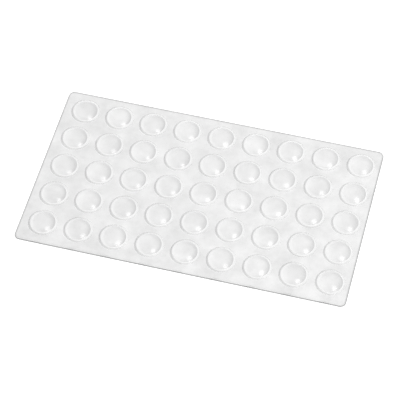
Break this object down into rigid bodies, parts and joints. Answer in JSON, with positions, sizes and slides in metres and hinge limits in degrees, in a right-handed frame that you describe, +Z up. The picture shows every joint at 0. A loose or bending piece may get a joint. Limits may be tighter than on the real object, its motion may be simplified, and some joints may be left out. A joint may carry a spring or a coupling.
{
  "type": "sheet of self-adhesive cabinet door bumpers",
  "caption": "Flat sheet of clear domed self-adhesive bumpers for cabinet doors and drawers, kiss-cut in a thin resin web on a release liner.",
  "frame": {"origin": "middle of the release liner's underside, which lies on the surface below", "axes": "+X along the nine columns, +Y along the five rows towards the back of the picture, +Z up through the crowns of the bumpers"},
  "size_m": [0.1168, 0.0688, 0.0032],
  "materials": {
    "resin": "clear cast polyurethane, glossy",
    "adhesive": "milky acrylic adhesive film, dull",
    "liner": "frosted translucent film, matt"
  },
  "bodies": {
    "root": {"release_liner": "liner", "adhesive_film": "adhesive", "resin_web": "resin", "bumper_row_1_column_1": "resin", "bumper_row_1_column_2": "resin", "bumper_row_1_column_3": "resin", "bumper_row_1_column_4": "resin", "bumper_row_1_column_5": "resin", "bumper_row_1_column_6": "resin", "bumper_row_1_column_7": "resin", "bumper_row_1_column_8": "resin", "bumper_row_1_column_9": "resin", "bumper_row_2_column_1": "resin", "bumper_row_2_column_2": "resin", "bumper_row_2_column_3": "resin", "bumper_row_2_column_4": "resin", "bumper_row_2_column_5": "resin", "bumper_row_2_column_6": "resin", "bumper_row_2_column_7": "resin", "bumper_row_2_column_8": "resin", "bumper_row_2_column_9": "resin", "bumper_row_3_column_1": "resin", "bumper_row_3_column_2": "resin", "bumper_row_3_column_3": "resin", "bumper_row_3_column_4": "resin", "bumper_row_3_column_5": "resin", "bumper_row_3_column_6": "resin", "bumper_row_3_column_7": "resin", "bumper_row_3_column_8": "resin", "bumper_row_3_column_9": "resin", "bumper_row_4_column_1": "resin", "bumper_row_4_column_2": "resin", "bumper_row_4_column_3": "resin", "bumper_row_4_column_4": "resin", "bumper_row_4_column_5": "resin", "bumper_row_4_column_6": "resin", "bumper_row_4_column_7": "resin", "bumper_row_4_column_8": "resin", "bumper_row_4_column_9": "resin", "bumper_row_5_column_1": "resin", "bumper_row_5_column_2": "resin", "bumper_row_5_column_3": "resin", "bumper_row_5_column_4": "resin", "bumper_row_5_column_5": "resin", "bumper_row_5_column_6": "resin", "bumper_row_5_column_7": "resin", "bumper_row_5_column_8": "resin", "bumper_row_5_column_9": "resin"}
  },
  "joints": []
}
